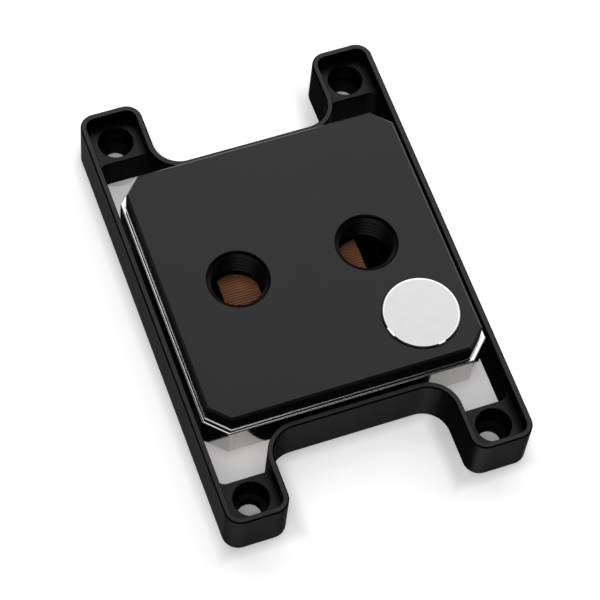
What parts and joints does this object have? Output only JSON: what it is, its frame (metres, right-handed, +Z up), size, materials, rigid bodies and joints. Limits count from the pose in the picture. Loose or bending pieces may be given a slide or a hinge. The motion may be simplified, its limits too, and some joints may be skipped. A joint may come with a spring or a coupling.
{
  "type": "cpu water block",
  "caption": "Octagonal liquid cooling block for a processor, with a black top, threaded ports and a bright metal body, in an H-shaped mounting bracket.",
  "frame": {"origin": "middle of the four mounting holes, at the level of the bracket's underside", "axes": "+X across the two legs at one end, +Y along the bracket, +Z up out of the ports"},
  "size_m": [0.068, 0.1024, 0.0181],
  "materials": {
    "black_anodised": "satin black anodised",
    "bright_nickel": "polished nickel plating",
    "black_acetal": "fine milled matte",
    "bare_copper": "machined bare copper",
    "stainless_sheet": "cut stainless sheet",
    "seal_rubber": "soft matte",
    "badge_silver": "fine satin silver",
    "adhesive_foam": "matte foam",
    "screw_steel": "bright machined"
  },
  "bodies": {
    "root": {"mounting_bracket": "black_anodised", "body_frame": "bright_nickel", "top_plate": "black_acetal", "cold_plate": "bare_copper", "flow_plate": "stainless_sheet", "flow_insert": "black_acetal", "top_seal": "seal_rubber", "base_seal": "seal_rubber", "badge": "badge_silver", "badge_pad": "adhesive_foam", "base_screw_1": "screw_steel", "base_screw_2": "screw_steel", "base_screw_3": "screw_steel", "base_screw_4": "screw_steel", "frame_screw_1": "screw_steel", "frame_screw_2": "screw_steel", "frame_screw_3": "screw_steel", "frame_screw_4": "screw_steel", "bracket_screw_1": "screw_steel", "bracket_screw_2": "screw_steel", "bracket_screw_3": "screw_steel", "bracket_screw_4": "screw_steel"}
  },
  "joints": []
}
